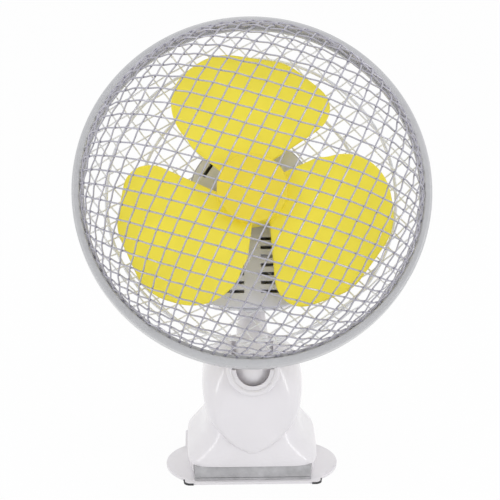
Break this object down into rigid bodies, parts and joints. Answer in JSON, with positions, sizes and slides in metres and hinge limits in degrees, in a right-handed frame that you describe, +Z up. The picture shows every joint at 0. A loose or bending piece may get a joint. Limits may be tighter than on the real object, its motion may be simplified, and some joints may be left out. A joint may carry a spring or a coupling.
{
  "type": "portable camping fan",
  "caption": "Small caged three-blade fan on a tilting and swivelling neck, with a clip-on battery base, a rocker switch and a charging socket.",
  "frame": {"origin": "middle of the foot plate's underside, on the surface the fan stands on", "axes": "+Z up, the fan blows towards -Y, +X to the right of someone who looks at the fan's front"},
  "size_m": [0.1956, 0.1494, 0.2573],
  "materials": {
    "base_plastic": "glossy off-white moulded plastic",
    "rim_plastic": "glossy pale grey-white moulded plastic",
    "yellow_plastic": "bright yellow moulded plastic, semi-gloss",
    "wire_coating": "white dipped coating on steel wire",
    "grey_plastic": "satin grey moulded plastic",
    "black_plastic": "satin black moulded plastic",
    "black_rubber": "matte black rubber",
    "grey_rubber": "matte grey rubber",
    "bright_steel": "bright plated steel",
    "core_steel": "stacked sheet steel",
    "ferrite": "dark grey ferrite",
    "bronze": "sintered bronze and copper",
    "cell_sleeve": "plain blue heat-shrink sleeve"
  },
  "bodies": {
    "foot": {"foot_plate": "base_plastic", "foot_bumpers": "black_rubber", "lower_jaw_pad": "grey_rubber", "clamp_pin": "bright_steel", "clamp_spring": "bright_steel"},
    "base": {"base_body": "base_plastic", "base_cover": "base_plastic", "base_floor": "base_plastic", "upper_jaw_pad": "grey_rubber", "base_screws": "bright_steel", "battery_cradle": "grey_plastic", "battery_cells": "cell_sleeve", "charging_socket": "black_plastic", "switch_frame": "black_plastic", "tilt_bracket": "grey_plastic", "tilt_pin": "bright_steel", "friction_washers": "black_rubber", "neck_collar": "base_plastic"},
    "switch": {"switch_rocker": "black_plastic"},
    "neck": {"neck": "base_plastic", "swivel_washer": "black_rubber", "swivel_clip": "bright_steel"},
    "head": {"motor_housing": "base_plastic", "motor_grille": "grey_plastic", "housing_screws": "bright_steel", "motor_can": "bright_steel", "motor_magnets": "ferrite", "motor_end_cap": "grey_plastic", "motor_bearings": "bronze", "motor_brushes": "bronze", "rear_rim": "rim_plastic", "rear_hub_ring": "wire_coating", "rear_hoops": "wire_coating", "rear_mesh_falling": "wire_coating", "rear_mesh_rising": "wire_coating", "front_rim": "rim_plastic", "front_mesh_falling": "wire_coating", "front_mesh_rising": "wire_coating"},
    "rotor": {"motor_shaft": "bright_steel", "armature_core": "core_steel", "armature_windings": "bronze", "commutator": "bronze", "propeller": "yellow_plastic"}
  },
  "joints": [
    {"name": "clamp_open", "type": "hinge", "parent": "foot", "child": "base", "pos_m": [0, 0.0127, 0.0062], "axis": [-1, 0, 0], "range_deg": [0, 20], "stiffness_Nm_per_rad": 0.6, "springref_deg": -34.38, "deforming": ["clamp_spring"]},
    {"name": "head_tilt", "type": "hinge", "parent": "base", "child": "neck", "pos_m": [0, -0.0233, 0.0667], "axis": [1, 0, 0], "range_deg": [-20, 30]},
    {"name": "head_swivel", "type": "hinge", "parent": "neck", "child": "head", "pos_m": [0, -0.0233, 0.0667], "axis": [0, 0.5299, 0.848], "range_deg": [-45, 45]},
    {"name": "propeller_spin", "type": "hinge", "parent": "head", "child": "rotor", "pos_m": [0, 0.02492, 0.14387], "axis": [0, -0.848, 0.5299], "continuous": true},
    {"name": "switch_rock", "type": "hinge", "parent": "base", "child": "switch", "pos_m": [-0.01, 0.0313, 0.021], "axis": [0, 0, 1], "range_deg": [0, 14]}
  ]
}
